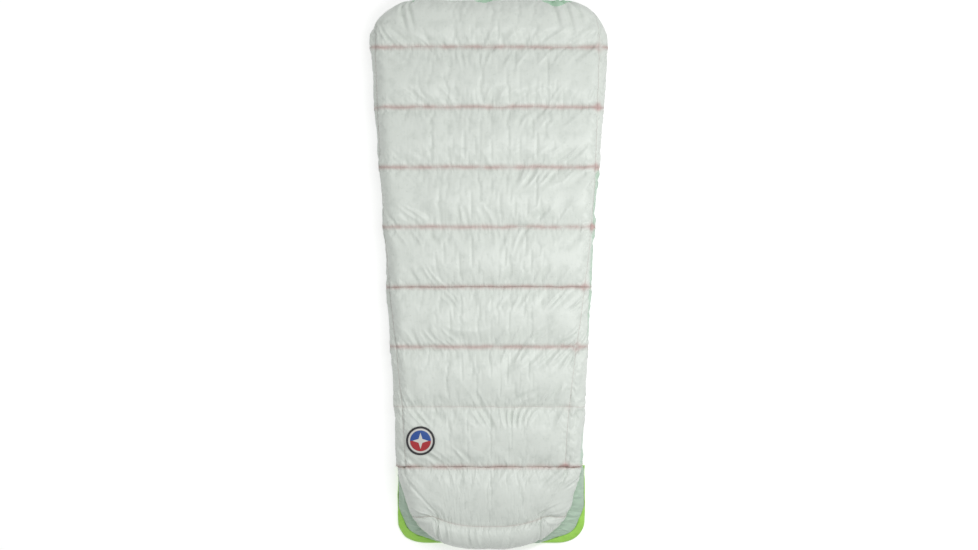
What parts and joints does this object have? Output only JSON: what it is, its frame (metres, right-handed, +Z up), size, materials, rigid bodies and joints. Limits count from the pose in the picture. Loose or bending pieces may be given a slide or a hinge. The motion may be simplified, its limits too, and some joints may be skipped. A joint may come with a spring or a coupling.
{
  "type": "camp quilt",
  "caption": "Pale sage down camp quilt with crosswise chambers, an open back with two pad straps, a snapped and corded neck, and a closed foot with a lime floor.",
  "frame": {"origin": "under the middle of the quilt, on the ground", "axes": "+X across the quilt, +Y towards the head end, +Z up from the ground"},
  "size_m": [0.8488, 1.9, 0.1257],
  "materials": {
    "shell_nylon": "satin",
    "lining_nylon": "satin",
    "floor_nylon": "satin",
    "gusset_nylon": "satin",
    "down": "matte",
    "baffle_mesh": "matte",
    "binding": "satin",
    "webbing": "matte",
    "drawcord": "matte",
    "lock_plastic": "satin",
    "snap_plastic": "satin",
    "spring_steel": "satin",
    "patch_twill": "matte",
    "patch_thread": "satin"
  },
  "bodies": {
    "quilt_body": {"baffle_wall_02": "baffle_mesh", "baffle_wall_03": "baffle_mesh", "baffle_wall_04": "baffle_mesh", "baffle_wall_05": "baffle_mesh", "baffle_wall_06": "baffle_mesh", "baffle_wall_07": "baffle_mesh", "body_flap_panel_left": "shell_nylon", "body_flap_panel_right": "shell_nylon", "body_hem_left": "binding", "body_hem_right": "binding", "body_lining": "lining_nylon", "body_side_panel_left": "shell_nylon", "body_side_panel_right": "shell_nylon", "body_top_panel": "shell_nylon", "down_fill_03": "down", "down_fill_04": "down", "down_fill_05": "down", "down_fill_06": "down", "down_fill_07": "down", "strap_studs": "snap_plastic"},
    "head_end": {"down_fill_01": "down", "down_fill_02": "down", "baffle_wall_01": "baffle_mesh", "head_top_panel": "shell_nylon", "head_side_panel_left": "shell_nylon", "head_side_panel_right": "shell_nylon", "head_flap_panel_left": "shell_nylon", "head_flap_panel_right": "shell_nylon", "head_lining": "lining_nylon", "head_hem_left": "binding", "head_hem_right": "binding", "neck_channel": "binding", "neck_drawcord": "drawcord", "cord_lock_barrel": "lock_plastic", "cord_lock_spring": "spring_steel", "neck_stud": "snap_plastic"},
    "footbox": {"down_fill_08": "down", "down_fill_09": "down", "down_fill_10": "down", "foot_wall_down": "down", "baffle_wall_08": "baffle_mesh", "baffle_wall_09": "baffle_mesh", "foot_top_panel": "shell_nylon", "foot_side_panel_left": "shell_nylon", "foot_side_panel_right": "shell_nylon", "foot_under_panel": "shell_nylon", "foot_lid_shell": "shell_nylon", "foot_lining": "lining_nylon", "footbox_floor": "floor_nylon", "footbox_gusset": "gusset_nylon", "patch": "patch_twill", "patch_border": "patch_thread"},
    "neck_tab": {"neck_tab": "webbing", "neck_tab_snap": "snap_plastic"},
    "upper_strap": {"upper_strap": "webbing", "upper_strap_snap": "snap_plastic"},
    "lower_strap": {"lower_strap": "webbing", "lower_strap_snap": "snap_plastic"},
    "cord_lock_plunger": {"cord_lock_plunger": "lock_plastic"}
  },
  "joints": [
    {"name": "turn_down", "type": "hinge", "parent": "quilt_body", "child": "head_end", "pos_m": [0, 0.58075, 0.126], "axis": [1, 0, 0], "range_deg": [0, 170]},
    {"name": "footbox_fold", "type": "hinge", "parent": "quilt_body", "child": "footbox", "pos_m": [0, -0.45575, 0.126], "axis": [-1, 0, 0], "range_deg": [0, 170]},
    {"name": "neck_tab_peel", "type": "hinge", "parent": "head_end", "child": "neck_tab", "pos_m": [-0.0624, 0.914, 0.0108], "axis": [0, 1, 0], "range_deg": [0, 100]},
    {"name": "upper_strap_peel", "type": "hinge", "parent": "quilt_body", "child": "upper_strap", "pos_m": [-0.134, 0.166, 0.0108], "axis": [0, 1, 0], "range_deg": [0, 100]},
    {"name": "lower_strap_peel", "type": "hinge", "parent": "quilt_body", "child": "lower_strap", "pos_m": [-0.134, -0.248, 0.0108], "axis": [0, 1, 0], "range_deg": [0, 100]},
    {"name": "cord_lock_press", "type": "slide", "parent": "head_end", "child": "cord_lock_plunger", "axis": [0, 0, -1], "range_m": [0, 0.0025], "stiffness_N_per_m": 400, "springref_m": -0.003, "deforming": ["cord_lock_spring"]}
  ]
}
